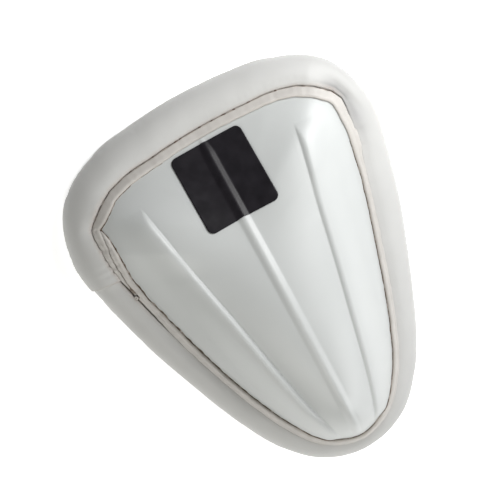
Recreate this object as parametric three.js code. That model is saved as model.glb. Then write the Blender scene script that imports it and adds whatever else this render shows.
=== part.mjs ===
// Abdominal guard: a ribbed moulded shell whose edge is wrapped by a padded roll, resting rim down.
// Millimetres, +Z out of the dome, +Y towards the waist edge, tip at -Y.
import * as THREE from 'three';

// Driving dimensions
const WALL = 2.5; // thickness of the shell
const CROWN_HEIGHT = 38; // highest point of the dome
const CROWN_ALONG = -32; // where along the guard it lies
const CROWN_BEND = 0.0039; // how fast the crown line falls away from it
const CROWN_LINE = { waistEnd: 30, tipEnd: -44, firstPlace: 1, lastPlace: 11.5 };
const ROLL_WIDTH = 15.6; // padded roll, along the wall
const ROLL_THICKNESS = 11.2; // padded roll, across the wall
const ROLL_SQUARENESS = 2.2; // 2 is an ellipse, more is squarer
const ROLL_SINK = 0.8; // how much the floor flattens it
const TUCK = 5; // depth of the shell's edge inside the roll
const NOSE_SHARE = 0.96; // where the slot's mouth lies, as a share of the roll's half width
const WELT_WIDTH = 3;
const WELT_THICKNESS = 1.5;
const WELT_EDGE_SHARE = 0.7; // thickness of its rounded edges against its middle
const RIB_WIDTH = 4.8;
const RIB_HEIGHT = 1.5;
const RIB_FADE = 4; // length over which a rib's end runs out
const BADGE_WIDTH = 28.6;
const BADGE_LENGTH = 29.4;
const BADGE_MIDDLE = 41.4; // where along the guard its middle lies
const BADGE_CORNER = 2.2;
const BADGE_THICKNESS = 0.6;
const GAP = 0.5; // between pieces at their corners, about 0.3 between their flat faces

// The shell's edge from the middle of the waist to the tip, at equal steps round the rim:
// half width, place along the guard and steepness of the wall in degrees
const EDGE = [
  { across: 0.0, along: 66.2, slope: 16 },
  { across: 17.0, along: 65.5, slope: 21 },
  { across: 34.0, along: 63.2, slope: 29.5 },
  { across: 49.4, along: 55.2, slope: 41.5 },
  { across: 55.3, along: 39.3, slope: 44.5 },
  { across: 53.0, along: 23.0, slope: 43 },
  { across: 48.9, along: 6.8, slope: 45 },
  { across: 44.0, along: -9.1, slope: 48.5 },
  { across: 38.5, along: -25.0, slope: 52.5 },
  { across: 32.2, along: -40.5, slope: 57 },
  { across: 24.6, along: -55.0, slope: 61.5 },
  { across: 14.0, along: -66.3, slope: 67 },
  { across: 0.0, along: -70.5, slope: 73 },
];
const TIP_PLACE = EDGE.length - 1;
const MIRRORED = EDGE.slice(1, -1).reverse().map((row) => ({ ...row, across: -row.across }));
const WHOLE_EDGE = [...EDGE, ...MIRRORED];

// How far the roll's middle lies beyond the shell's edge, along the wall
const ROLL_REACH = NOSE_SHARE * (ROLL_WIDTH / 2) - TUCK;

// Side ribs: distance from the middle line, how it grows along the guard, and the turn-in near the tip
const SIDE_RIB = { middle: 23.8, fan: 0.215, turnAlong: -32, turn: 0.0009, top: 44.8, bottom: -62 };
const MIDDLE_RIB = { top: 57.2, bottom: -61.5 };

// A smooth value from the edge table at any place round the rim, in table steps
function edgeColumn(column, place) {
  const count = WHOLE_EDGE.length;
  const first = Math.floor(place);
  const part = place - first;
  const [before, here, next, after] = [-1, 0, 1, 2].map(
    (step) => WHOLE_EDGE[(first + step + 2 * count) % count][column],
  );
  const straight = next - before;
  const bend = 2 * before - 5 * here + 4 * next - after;
  const twist = 3 * (here - next) + after - before;
  return here + 0.5 * part * (straight + part * (bend + part * twist));
}

function edgePoint(place) {
  return new THREE.Vector2(edgeColumn('across', place), edgeColumn('along', place));
}

// The edge at one place: its point and outward direction in plan, the wall's slope, and the height that
// puts the roll on the floor
function edgeFrame(place) {
  const step = 0.02;
  const travel = edgePoint(place + step).sub(edgePoint(place - step)).normalize();
  const slope = THREE.MathUtils.degToRad(edgeColumn('slope', place));
  const rollDrop = Math.hypot(
    (ROLL_WIDTH / 2) * Math.sin(slope),
    (ROLL_THICKNESS / 2) * Math.cos(slope),
  );
  const height = rollDrop - ROLL_SINK + ROLL_REACH * Math.sin(slope) + (WALL / 2) * Math.cos(slope);
  return { point: edgePoint(place), out: new THREE.Vector2(-travel.y, travel.x), slope, height };
}

// Height of the crown line, which runs along the middle of the dome
function crownHeight(along) {
  return CROWN_HEIGHT - CROWN_BEND * (along - CROWN_ALONG) ** 2;
}

// Where the ray to one place on the edge leaves the crown line
function crownPoint(place) {
  const share = THREE.MathUtils.smoothstep(place, CROWN_LINE.firstPlace, CROWN_LINE.lastPlace);
  return new THREE.Vector2(0, THREE.MathUtils.lerp(CROWN_LINE.waistEnd, CROWN_LINE.tipEnd, share));
}

// The place on the edge whose ray from the crown line passes over a plan point
function placeOnRay(x, y) {
  const point = new THREE.Vector2(Math.abs(x), y);
  let low = 0;
  let high = TIP_PLACE;
  for (let step = 0; step < 30; step += 1) {
    const middle = (low + high) / 2;
    const from = crownPoint(middle);
    if (edgePoint(middle).sub(from).cross(point.clone().sub(from)) < 0) low = middle;
    else high = middle;
  }
  return (low + high) / 2;
}

// Height of the shell's outer face without its ribs: each ray leaves the crown line along its slope and
// meets the edge at the wall's own slope
function domeHeight(x, y) {
  const place = placeOnRay(x, y);
  const edge = edgeFrame(place);
  const from = crownPoint(place);
  const ray = edge.point.clone().sub(from);
  const part = Math.hypot(Math.abs(x) - from.x, y - from.y) / ray.length();
  const start = crownHeight(from.y);
  const startFall = -2 * CROWN_BEND * (from.y - CROWN_ALONG) * ray.y;
  const fall = (Math.tan(edge.slope) * ray.dot(edge.out)) / (start - edge.height);
  const drop = fall < 3 ? (3 - fall) * part ** 2 + (fall - 2) * part ** 3 : part ** fall;
  return start + startFall * part * (1 - part) ** 2 - (start - edge.height) * drop;
}

// Half spacing of the side ribs
function sideRibAcross(along) {
  const past = Math.max(0, SIDE_RIB.turnAlong - along);
  return SIDE_RIB.middle + SIDE_RIB.fan * along - SIDE_RIB.turn * past ** 2;
}

// Height of a rib at a distance from its own line
function ribRise(offset, along, rib) {
  if (Math.abs(offset) >= RIB_WIDTH / 2) return 0;
  const start = THREE.MathUtils.smoothstep(rib.top - along, 0, RIB_FADE);
  const end = THREE.MathUtils.smoothstep(along - rib.bottom, 0, RIB_FADE);
  return RIB_HEIGHT * start * end * Math.cos((Math.PI * offset) / RIB_WIDTH) ** 2;
}

// Unit direction square to the shell's outer face
function domeNormal(x, y) {
  const step = 0.05;
  const slopeX = (domeHeight(x + step, y) - domeHeight(x - step, y)) / (2 * step);
  const slopeY = (domeHeight(x, y + step) - domeHeight(x, y - step)) / (2 * step);
  return new THREE.Vector3(-slopeX, -slopeY, 1).normalize();
}

// A point on the shell's outer face over a plan point, lifted square to the face
function shellPoint(x, y, lift) {
  const normal = domeNormal(x, y);
  return new THREE.Vector3(x, y, domeHeight(x, y)).addScaledVector(normal, lift);
}

function mesh(name, points, faces, material) {
  const geometry = new THREE.BufferGeometry();
  geometry.setAttribute('position', new THREE.Float32BufferAttribute(points.flatMap((p) => p.toArray()), 3));
  geometry.setIndex(faces);
  geometry.computeVertexNormals();
  const piece = new THREE.Mesh(geometry, new THREE.MeshStandardMaterial(material));
  piece.name = name;
  return piece;
}

// A closed solid between two grids of points: rows run from waist to tip, columns from left to right
function sheetSolid(name, top, bottom, material) {
  const rows = top.length - 1;
  const columns = top[0].length - 1;
  const points = [...top.flat(), ...bottom.flat()];
  const upper = (row, column) => row * (columns + 1) + column;
  const lower = (row, column) => points.length / 2 + upper(row, column);
  const faces = [];
  for (let row = 0; row < rows; row += 1) {
    for (let column = 0; column < columns; column += 1) {
      const corners = [[row, column], [row + 1, column], [row + 1, column + 1], [row, column + 1]];
      const [a, b, c, d] = corners.map((corner) => upper(...corner));
      const [e, f, g, h] = corners.map((corner) => lower(...corner));
      faces.push(a, b, c, a, c, d, e, g, f, e, h, g);
    }
  }
  const border = [];
  for (let row = 0; row < rows; row += 1) border.push([row, 0]);
  for (let column = 0; column < columns; column += 1) border.push([rows, column]);
  for (let row = rows; row > 0; row -= 1) border.push([row, columns]);
  for (let column = columns; column > 0; column -= 1) border.push([0, column]);
  border.forEach((here, index) => {
    const next = border[(index + 1) % border.length];
    faces.push(upper(...here), lower(...here), lower(...next));
    faces.push(upper(...here), lower(...next), upper(...next));
  });
  return mesh(name, points, faces, material);
}

// A closed solid that carries a section right round the rim
function ringSolid(name, sectionAt, stations, material) {
  const sections = Array.from({ length: stations }, (_, index) => {
    return sectionAt((index * WHOLE_EDGE.length) / stations);
  });
  const size = sections[0].length;
  const faces = [];
  for (let station = 0; station < stations; station += 1) {
    const next = (station + 1) % stations;
    for (let corner = 0; corner < size; corner += 1) {
      const after = (corner + 1) % size;
      const [a, b] = [station * size + corner, next * size + corner];
      const [c, d] = [next * size + after, station * size + after];
      faces.push(a, b, c, a, c, d);
    }
  }
  return mesh(name, sections.flat(), faces, material);
}

// Shell: a patch of rows and columns laid between the waist edge, the tip and the two sides, with columns
// that follow the ribs
const WAIST_CORNER = 3.2;
const TIP_CORNER = 11;
const SHELL_ROWS = 28;
const PANEL_COLUMNS = 4;
const RIB_COLUMNS = [-0.5, -0.3, -0.12, 0.12, 0.3, 0.5];

// Plan point of the patch: u runs from -1 on the left to 1 on the right, v from 0 at the waist to 1 at the
// tip
function patchPoint(u, v) {
  const waist = edgePoint(u * WAIST_CORNER);
  const tip = edgePoint(TIP_PLACE - u * (TIP_PLACE - TIP_CORNER));
  const side = edgePoint(WAIST_CORNER + v * (TIP_CORNER - WAIST_CORNER));
  const waistEnd = edgePoint(WAIST_CORNER);
  const tipEnd = edgePoint(TIP_CORNER);
  const x = (1 - v) * waist.x + v * tip.x + u * (side.x - (1 - v) * waistEnd.x - v * tipEnd.x);
  const y = (1 - v) * waist.y + v * tip.y + side.y - (1 - v) * waistEnd.y - v * tipEnd.y;
  return new THREE.Vector2(x, y);
}

// The patch column that lies on a side rib in one row, shifted sideways by an offset in millimetres
function ribColumn(v, offset) {
  let u = 0.5;
  for (let step = 0; step < 12; step += 1) {
    const point = patchPoint(u, v);
    u *= (sideRibAcross(point.y) + offset) / point.x;
  }
  return u;
}

// The same for the middle rib, where columns are evenly spread
function middleColumn(v, offset) {
  const near = 0.1;
  return (near * offset) / patchPoint(near, v).x;
}

function rowColumns(v) {
  const middle = RIB_COLUMNS.map((share) => middleColumn(v, share * RIB_WIDTH));
  const right = RIB_COLUMNS.map((share) => ribColumn(v, share * RIB_WIDTH));
  const between = (from, to) => Array.from(
    { length: PANEL_COLUMNS - 1 },
    (_, index) => from + ((to - from) * (index + 1)) / PANEL_COLUMNS,
  );
  const half = [...between(middle.at(-1), right[0]), ...right, ...between(right.at(-1), 1), 1];
  return [...half.map((u) => -u).reverse(), ...middle, ...half];
}

function ribbedLift(x, y) {
  const side = ribRise(Math.abs(x) - sideRibAcross(y), y, SIDE_RIB);
  return side + ribRise(x, y, MIDDLE_RIB);
}

const shellRows = Array.from({ length: SHELL_ROWS + 1 }, (_, row) => {
  const v = row / SHELL_ROWS;
  return rowColumns(v).map((u) => patchPoint(u, v));
});
const shellOuter = shellRows.map((row) => row.map(({ x, y }) => shellPoint(x, y, ribbedLift(x, y))));
const shellInner = shellRows.map((row) => row.map(({ x, y }) => shellPoint(x, y, -WALL)));
const shell = sheetSolid('shell', shellOuter, shellInner, { color: 0xe8ebec, roughness: 0.4, metalness: 0 });

// Padded rim: a flattened roll with a slot for the shell's edge, level where it meets the floor
const ROLL_STATIONS = 72;
const ROLL_STEPS = 15;
const SLOT_INNER_GAP = 0.9;

// Half width of the roll at a distance from the middle of its thickness
function rollEdge(offset) {
  const share = Math.abs(offset) / (ROLL_THICKNESS / 2);
  return (ROLL_WIDTH / 2) * (1 - share ** ROLL_SQUARENESS) ** (1 / ROLL_SQUARENESS);
}

// Section points as distances past the shell's edge along the wall and above its outer face
function rollOutline() {
  const upper = GAP + WALL / 2;
  const lower = SLOT_INNER_GAP + WALL / 2;
  const start = Math.atan2(upper / (ROLL_THICKNESS / 2), rollEdge(upper) / (ROLL_WIDTH / 2));
  const end = 2 * Math.PI - Math.atan2(lower / (ROLL_THICKNESS / 2), rollEdge(lower) / (ROLL_WIDTH / 2));
  const round = (value) => Math.sign(value) * Math.abs(value) ** (2 / ROLL_SQUARENESS);
  const outline = Array.from({ length: ROLL_STEPS + 1 }, (_, index) => {
    const turn = start + ((end - start) * index) / ROLL_STEPS;
    return {
      past: ROLL_REACH - (ROLL_WIDTH / 2) * round(Math.cos(turn)),
      above: -WALL / 2 + (ROLL_THICKNESS / 2) * round(Math.sin(turn)),
    };
  });
  outline.push({ past: GAP, above: -WALL - GAP }, { past: GAP, above: GAP });
  return outline;
}

const ROLL_OUTLINE = rollOutline();

function rollSection(place) {
  const { point, out, slope, height } = edgeFrame(place);
  return ROLL_OUTLINE.map(({ past, above }) => {
    const outward = past * Math.cos(slope) + above * Math.sin(slope);
    const z = height - past * Math.sin(slope) + above * Math.cos(slope);
    return new THREE.Vector3(point.x + out.x * outward, point.y + out.y * outward, Math.max(0, z));
  });
}

const paddedRim = ringSolid('padded_rim', rollSection, ROLL_STATIONS, {
  color: 0xebe9e5,
  roughness: 0.5,
  metalness: 0,
});

// Seam welt: a folded strip on the shell's outer face, just inside the roll: share of its width in from
// the roll and height above the shell
const WELT_SECTION = [
  { inward: 1, lift: GAP },
  { inward: 1, lift: GAP + WELT_EDGE_SHARE * WELT_THICKNESS },
  { inward: 0.5, lift: GAP + WELT_THICKNESS },
  { inward: 0, lift: GAP + WELT_EDGE_SHARE * WELT_THICKNESS },
  { inward: 0, lift: GAP },
];

function weltSection(place) {
  const { point, out, slope } = edgeFrame(place);
  return WELT_SECTION.map(({ inward, lift }) => {
    const distance = (TUCK + GAP + inward * WELT_WIDTH) * Math.cos(slope);
    return shellPoint(point.x - out.x * distance, point.y - out.y * distance, lift);
  });
}

const seamWelt = ringSolid('seam_welt', weltSection, ROLL_STATIONS, {
  color: 0xe4dfd5,
  roughness: 0.55,
  metalness: 0,
});

// Badge: a thin rounded square laid over the shell and its middle rib
const BADGE_ROWS = 7;
const BADGE_CORNER_ROWS = 3;
const BADGE_SIDE_COLUMNS = 5;

function badgeHalfWidth(fromMiddle) {
  const intoCorner = Math.abs(fromMiddle) - (BADGE_LENGTH / 2 - BADGE_CORNER);
  if (intoCorner <= 0) return BADGE_WIDTH / 2;
  return BADGE_WIDTH / 2 - BADGE_CORNER + Math.sqrt(Math.max(0, BADGE_CORNER ** 2 - intoCorner ** 2));
}

function badgeRowPlaces() {
  const straight = BADGE_LENGTH / 2 - BADGE_CORNER;
  const corner = Array.from({ length: BADGE_CORNER_ROWS }, (_, index) => {
    return straight + BADGE_CORNER * Math.cos((index * Math.PI) / 2 / BADGE_CORNER_ROWS);
  });
  const middle = Array.from({ length: BADGE_ROWS + 1 }, (_, index) => {
    return straight * (1 - (2 * index) / BADGE_ROWS);
  });
  return [...corner, ...middle, ...corner.map((place) => -place).reverse()];
}

function badgeColumns(halfWidth) {
  const ribSide = RIB_WIDTH / 2;
  const outside = Array.from({ length: BADGE_SIDE_COLUMNS }, (_, index) => {
    return ribSide + ((halfWidth - ribSide) * (index + 1)) / BADGE_SIDE_COLUMNS;
  });
  const rib = RIB_COLUMNS.map((share) => share * RIB_WIDTH);
  return [...outside.map((x) => -x).reverse(), ...rib, ...outside];
}

function badgeFace(lift) {
  return badgeRowPlaces().map((place) => badgeColumns(badgeHalfWidth(place)).map((x) => {
    const y = BADGE_MIDDLE + place;
    return shellPoint(x, y, ribbedLift(x, y) + lift);
  }));
}

const badge = sheetSolid('badge', badgeFace(GAP + BADGE_THICKNESS), badgeFace(GAP), {
  color: 0x1c1a1d,
  roughness: 0.35,
  metalness: 0,
});

const guard = new THREE.Group();
guard.name = 'abdominal_guard';
guard.add(shell, paddedRim, seamWelt, badge);

export default guard;
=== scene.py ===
import math

import bpy
import numpy as np
from mathutils import Matrix, Vector


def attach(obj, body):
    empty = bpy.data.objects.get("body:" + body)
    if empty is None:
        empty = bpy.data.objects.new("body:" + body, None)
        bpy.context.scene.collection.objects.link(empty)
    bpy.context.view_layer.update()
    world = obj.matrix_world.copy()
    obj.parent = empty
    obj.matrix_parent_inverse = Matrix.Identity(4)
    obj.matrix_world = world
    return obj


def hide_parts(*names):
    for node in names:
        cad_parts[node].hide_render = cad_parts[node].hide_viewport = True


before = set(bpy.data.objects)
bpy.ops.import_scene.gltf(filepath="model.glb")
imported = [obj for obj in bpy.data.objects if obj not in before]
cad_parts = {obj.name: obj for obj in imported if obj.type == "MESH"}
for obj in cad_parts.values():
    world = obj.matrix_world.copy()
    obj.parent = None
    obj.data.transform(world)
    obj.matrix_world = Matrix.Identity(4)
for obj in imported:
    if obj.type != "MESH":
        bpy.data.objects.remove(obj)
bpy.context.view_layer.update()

# Shell: one moulding in white satin plastic, a dome that is open at the back. Three ribs fan out from the
# tip to stiffen it. Its edge runs on under the welt and into the roll that pads the rim.
# Sizes are in millimetres, up to the floor and the lamps.
MM = 0.001
WALL = 2.5
CROWN_HEIGHT = 38.0
CROWN_ALONG = -32.0
CROWN_BEND = 0.0039
CROWN_WAIST_END = 30.0
CROWN_TIP_END = -44.0
CROWN_FIRST_PLACE = 1.0
CROWN_LAST_PLACE = 11.5
ROLL_WIDTH = 15.6
ROLL_THICKNESS = 11.2
ROLL_SINK = 0.8
TUCK = 5.0
NOSE_SHARE = 0.96
ROLL_REACH = NOSE_SHARE * ROLL_WIDTH / 2 - TUCK
RIB_WIDTH = 5.6
MIDDLE_RIB_HEIGHT = 0.95
SIDE_RIB_HEIGHT = 1.5
LEFT_RIB_GROWTH = 1.0
RIGHT_RIB_GROWTH = 0.4
SIDE_RIB_FOOT = 1.5
SIDE_RIB_CREST = 1.2
SIDE_RIB_KNEE = 0.16
SIDE_RIB_SPREAD = 11.0
SIDE_RIB_SPACING = 23.25
SIDE_RIB_FAN = 0.215
SIDE_RIB_TURN = 0.0009
SIDE_RIB_TURN_START = -32.0
MIDDLE_RIB_ACROSS = -0.42
MIDDLE_RIB_SKEW = 0.0123
RIB_GROWTH_RANGE = (10.0, 85.0)
RIB_GROWTH_END = (2.0, 18.0)
RIB_TOP_LEAN = 0.6
RIB_TOP_LEAN_RANGE = (15.0, 42.0)
RIB_TIP_LEAN = 0.35
RIB_TIP_LEAN_RANGE = (0.0, 30.0)
RIB_TOP_FADE = 8.0
RIB_TIP_FADE = 3.0
RIB_TIP_SHARE = 0.6
RIB_END_WIDTH = 0.3
RIB_TAPER = 25.0
SIDE_RIB_TOP, SIDE_RIB_TIP = 46.5, -65.4
MIDDLE_RIB_TOP, MIDDLE_RIB_TIP = 58.5, -67.4
SHELL_WHITE = (0.50, 0.515, 0.51)
SHELL_SHADE = 0.955

# Half width, place along the guard and slope of the wall in degrees, from the waist to the tip
EDGE = np.array([
    (0.0, 66.2, 16.0),
    (17.0, 65.5, 21.0),
    (34.0, 63.2, 29.5),
    (49.4, 55.2, 41.5),
    (55.3, 39.3, 44.5),
    (53.0, 23.0, 43.0),
    (48.9, 6.8, 45.0),
    (44.0, -9.1, 48.5),
    (38.5, -25.0, 52.5),
    (32.2, -40.5, 57.0),
    (24.6, -55.0, 61.5),
    (14.0, -66.3, 67.0),
    (0.0, -70.5, 73.0),
])
TIP = len(EDGE) - 1
WHOLE_EDGE = np.vstack([EDGE, EDGE[-2:0:-1] * (-1, 1, 1)])
ROUND = len(WHOLE_EDGE)
HALVINGS = 28


def smoothstep(value, start, end):
    """A smooth rise from 0 at the start to 1 at the end."""
    share = np.clip((value - start) / (end - start), 0, 1)
    return share * share * (3 - 2 * share)


def edge_rows(place):
    """The edge table's values at places round the rim, smooth between its rows."""
    place = np.asarray(place, float)
    first = np.floor(place).astype(int)
    part = (place - first)[..., None]
    before, here, ahead, after = (WHOLE_EDGE[(first + step) % ROUND] for step in (-1, 0, 1, 2))
    bend = 2 * before - 5 * here + 4 * ahead - after
    twist = 3 * (here - ahead) + after - before
    return here + 0.5 * part * (ahead - before + part * (bend + part * twist))


def rim(place):
    """The shell's edge: plan point, outward plan direction, wall slope in radians, and height."""
    step = 0.02
    row = edge_rows(place)
    travel = edge_rows(np.asarray(place) + step)[..., :2] - edge_rows(np.asarray(place) - step)[..., :2]
    travel /= np.linalg.norm(travel, axis=-1, keepdims=True)
    out = np.stack([-travel[..., 1], travel[..., 0]], axis=-1)
    slope = np.radians(row[..., 2])
    drop = np.hypot(ROLL_WIDTH / 2 * np.sin(slope), ROLL_THICKNESS / 2 * np.cos(slope))
    height = drop - ROLL_SINK + ROLL_REACH * np.sin(slope) + WALL / 2 * np.cos(slope)
    return row[..., :2], out, slope, height


def crown_start(place):
    """Where along the guard the ray to one place on the edge leaves the crown line."""
    share = smoothstep(place, CROWN_FIRST_PLACE, CROWN_LAST_PLACE)
    return CROWN_WAIST_END + (CROWN_TIP_END - CROWN_WAIST_END) * share


def place_on_ray(x, y):
    """Place on the edge whose ray from the crown line passes over each plan point."""
    low = np.zeros(np.shape(x))
    high = np.full(np.shape(x), float(TIP))
    for _ in range(HALVINGS):
        middle = (low + high) / 2
        edge = edge_rows(middle)
        start = crown_start(middle)
        before = edge[..., 0] * (y - start) < (edge[..., 1] - start) * np.abs(x)
        low = np.where(before, middle, low)
        high = np.where(before, high, middle)
    return (low + high) / 2


def dome_height(x, y):
    """Height of the shell's outer face without its ribs."""
    place = place_on_ray(x, y)
    point, out, slope, height = rim(place)
    start = crown_start(place)
    ray = np.stack([point[..., 0], point[..., 1] - start], axis=-1)
    part = np.hypot(x, y - start) / np.linalg.norm(ray, axis=-1)
    top = CROWN_HEIGHT - CROWN_BEND * (start - CROWN_ALONG) ** 2
    first_fall = -2 * CROWN_BEND * (start - CROWN_ALONG) * ray[..., 1]
    fall = np.tan(slope) * (ray * out).sum(-1) / (top - height)
    shallow = (3 - fall) * part ** 2 + (fall - 2) * part ** 3
    drop = np.where(fall < 3, shallow, part ** np.maximum(fall, 3))
    return top + first_fall * part * (1 - part) ** 2 - (top - height) * drop


def dome(x, y):
    """Points on the shell's outer face over plan points, and the directions square to it."""
    step = 0.05
    x, y = np.asarray(x, float), np.asarray(y, float)
    slope_x = (dome_height(x + step, y) - dome_height(x - step, y)) / (2 * step)
    slope_y = (dome_height(x, y + step) - dome_height(x, y - step)) / (2 * step)
    normal = np.stack([-slope_x, -slope_y, np.ones_like(slope_x)], axis=-1)
    normal /= np.linalg.norm(normal, axis=-1, keepdims=True)
    return np.stack([x, y, dome_height(x, y)], axis=-1), normal


def side_rib_across(along):
    """Half spacing of the side ribs, which turn in near the tip."""
    turn = SIDE_RIB_TURN * np.maximum(0, SIDE_RIB_TURN_START - along) ** 2
    return SIDE_RIB_SPACING + SIDE_RIB_FAN * along - turn


def middle_rib_across(along):
    """Place of the middle rib's crest, which runs a little to the left at the tip."""
    return MIDDLE_RIB_SKEW * along + MIDDLE_RIB_ACROSS


def side_rib_lean(along):
    """How far both side ribs bend to the right at their tops, and to the left lower down."""
    at_top = RIB_TOP_LEAN * smoothstep(along, *RIB_TOP_LEAN_RANGE)
    lower_down = RIB_TIP_LEAN * smoothstep(-along, *RIB_TIP_LEAN_RANGE)
    return at_top - lower_down


def rib_strength(along, top, tip):
    """Share of a rib's full size along its line, from its round start to its narrow end."""
    start = np.sqrt(smoothstep(top - along, 0, RIB_TOP_FADE))
    end = smoothstep(along - tip, 0, RIB_TIP_FADE)
    return start * end * (RIB_TIP_SHARE + (1 - RIB_TIP_SHARE) * smoothstep(along - tip, 0, RIB_TAPER))


def middle_rib(offset, along):
    """Height of the middle rib, a low round bead."""
    strength = rib_strength(along, MIDDLE_RIB_TOP, MIDDLE_RIB_TIP)
    half = RIB_WIDTH / 2 * (RIB_END_WIDTH + (1 - RIB_END_WIDTH) * strength)
    return MIDDLE_RIB_HEIGHT * strength * np.clip(1 - (offset / half) ** 2, 0, 1) ** 2


def side_rib(offset, along, growth):
    """Height of a side rib: sharp on the middle's side, run out into the flank, higher lower down."""
    strength = rib_strength(along, SIDE_RIB_TOP, SIDE_RIB_TIP)
    width = (SIDE_RIB_FOOT + SIDE_RIB_CREST) * (RIB_END_WIDTH + (1 - RIB_END_WIDTH) * strength)
    share = np.clip((offset + SIDE_RIB_FOOT) / width, 0, 1)
    foot = share ** 2 / SIDE_RIB_KNEE
    crest = 1 - (1 - share) ** 2 / (1 - SIDE_RIB_KNEE)
    run_out = 1 - smoothstep(offset, SIDE_RIB_CREST, SIDE_RIB_SPREAD)
    grown = smoothstep(SIDE_RIB_TOP - along, *RIB_GROWTH_RANGE)
    ended = smoothstep(along - SIDE_RIB_TIP, *RIB_GROWTH_END)
    height = SIDE_RIB_HEIGHT * (1 + growth * grown * ended)
    return height * strength * np.where(share < SIDE_RIB_KNEE, foot, crest) * run_out


def ribbed(x, y):
    """Points on the outer face with its ribs, raised without leaning, and the directions square to it."""
    growth = np.where(x < 0, LEFT_RIB_GROWTH, RIGHT_RIB_GROWTH)
    sides = side_rib(np.abs(x - side_rib_lean(y)) - side_rib_across(y), y, growth)
    face, square = dome(x, y)
    upright = square * (0, 1, 1)
    upright /= np.linalg.norm(upright, axis=-1, keepdims=True)
    return face + upright * (sides + middle_rib(x - middle_rib_across(y), y))[..., None], square


def grid_faces(rows, columns, first=0, round_rows=False, round_columns=False):
    """Quads of a grid of points, closed on itself along its rows or columns where asked."""
    row = np.arange(rows if round_rows else rows - 1)
    column = np.arange(columns if round_columns else columns - 1)
    row, column = np.meshgrid(row, column, indexing="ij")
    next_row, next_column = (row + 1) % rows, (column + 1) % columns
    corners = (row, column), (next_row, column), (next_row, next_column), (row, next_column)
    return np.stack([first + r * columns + c for r, c in corners], axis=-1).reshape(-1, 4)


def edge_band(rows, columns):
    """Quads that close the edge between two like grids, the second following the first."""
    index = np.arange(rows * columns).reshape(rows, columns)
    border = np.concatenate([index[:-1, 0], index[-1, :-1], index[:0:-1, -1], index[0, :0:-1]])
    after = np.roll(border, -1)
    return np.stack([border, border + rows * columns, after + rows * columns, after], axis=-1)


def make_piece(name, points, faces):
    """A smooth mesh object from points in millimetres."""
    mesh = bpy.data.meshes.new(name)
    metres = (np.asarray(points).reshape(-1, 3) * MM).tolist()
    corners = faces if isinstance(faces, list) else faces.tolist()
    mesh.from_pydata(metres, [], corners)
    mesh.polygons.foreach_set("use_smooth", np.ones(len(mesh.polygons), bool))
    mesh.update()
    piece = bpy.data.objects.new(name, mesh)
    bpy.context.scene.collection.objects.link(piece)
    return piece


WAIST_CORNER = 3.2
TIP_CORNER = 11.0
SHELL_ROWS = 180
PANEL_COLUMNS = 22
RIB_COLUMNS = np.linspace(-0.5, 0.5, 23)
MIDDLE_PROBE = 0.1
SIDE_GUESS = 0.5
SIDE_TRIES = 16


def patch_point(u, v):
    """Plan point of the shell's patch: u from -1 on the left to 1 on the right, v from waist to tip."""
    waist = edge_rows(u * WAIST_CORNER)
    tip = edge_rows(TIP - u * (TIP - TIP_CORNER))
    side = edge_rows(WAIST_CORNER + v * (TIP_CORNER - WAIST_CORNER))
    waist_end, tip_end = edge_rows(WAIST_CORNER), edge_rows(TIP_CORNER)
    x = (1 - v) * waist[..., 0] + v * tip[..., 0]
    x += u * (side[..., 0] - (1 - v) * waist_end[0] - v * tip_end[0])
    y = (1 - v) * waist[..., 1] + v * tip[..., 1] + side[..., 1] - (1 - v) * waist_end[1] - v * tip_end[1]
    return x, y


def shell_columns(v):
    """Columns of each row, gathered on the ribs."""
    offsets = RIB_COLUMNS * RIB_WIDTH
    rows = v[:, None]
    near = np.full_like(rows, MIDDLE_PROBE)
    near_x, near_y = patch_point(near, rows)
    middle = near * (middle_rib_across(near_y) + offsets) / near_x
    side = np.full((len(v), len(offsets)), SIDE_GUESS)
    for _ in range(SIDE_TRIES):
        x, y = patch_point(side, np.broadcast_to(rows, side.shape))
        side = side * (side_rib_across(y) + offsets) / x
    share = np.arange(1, PANEL_COLUMNS) / PANEL_COLUMNS
    left_panel = -side[:, :1] + (middle[:, :1] + side[:, :1]) * share
    right_panel = middle[:, -1:] + (side[:, :1] - middle[:, -1:]) * share
    flank = np.hstack([side, side[:, -1:] + (1 - side[:, -1:]) * share, np.ones_like(rows)])
    return np.hstack([-flank[:, ::-1], left_panel, middle, right_panel, flank])


shell_v = np.linspace(0, 1, SHELL_ROWS)
shell_u = shell_columns(shell_v)
shell_x, shell_y = patch_point(shell_u, np.broadcast_to(shell_v[:, None], shell_u.shape))
shell_outer, _ = ribbed(shell_x, shell_y)
shell_face, shell_square = dome(shell_x, shell_y)
shell_inner = shell_face - shell_square * WALL
rows, columns = shell_u.shape
shell = make_piece(
    "moulded_shell",
    np.concatenate([shell_outer.reshape(-1, 3), shell_inner.reshape(-1, 3)]),
    np.concatenate([
        grid_faces(rows, columns),
        grid_faces(rows, columns, first=rows * columns)[:, ::-1],
        edge_band(rows, columns),
    ]),
)


# Sockets of a colour mix: its share, first and second colour, and the result
MIX_INPUTS = (0, 6, 7)
MIX_RESULT = 2


def new_finish(name):
    """An empty procedural material, its node tree and its shader."""
    finish = bpy.data.materials.new(name)
    finish.use_nodes = True
    return finish, finish.node_tree, finish.node_tree.nodes["Principled BSDF"]


def add_node(tree, kind, inputs=None, **settings):
    """A node with its settings, and its inputs set to values or joined to other nodes' outputs."""
    node = tree.nodes.new(kind)
    for name, value in settings.items():
        setattr(node, name, value)
    for name, value in (inputs or {}).items():
        if isinstance(value, bpy.types.NodeSocket):
            tree.links.new(value, node.inputs[name])
        else:
            node.inputs[name].default_value = value
    return node


def noise(tree, place, scale, detail, roughness=0.5):
    """A cloudy 0 to 1 pattern, with its scale per metre."""
    inputs = {"Vector": place, "Scale": scale, "Detail": detail, "Roughness": roughness}
    return add_node(tree, "ShaderNodeTexNoise", inputs).outputs["Fac"]


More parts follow.
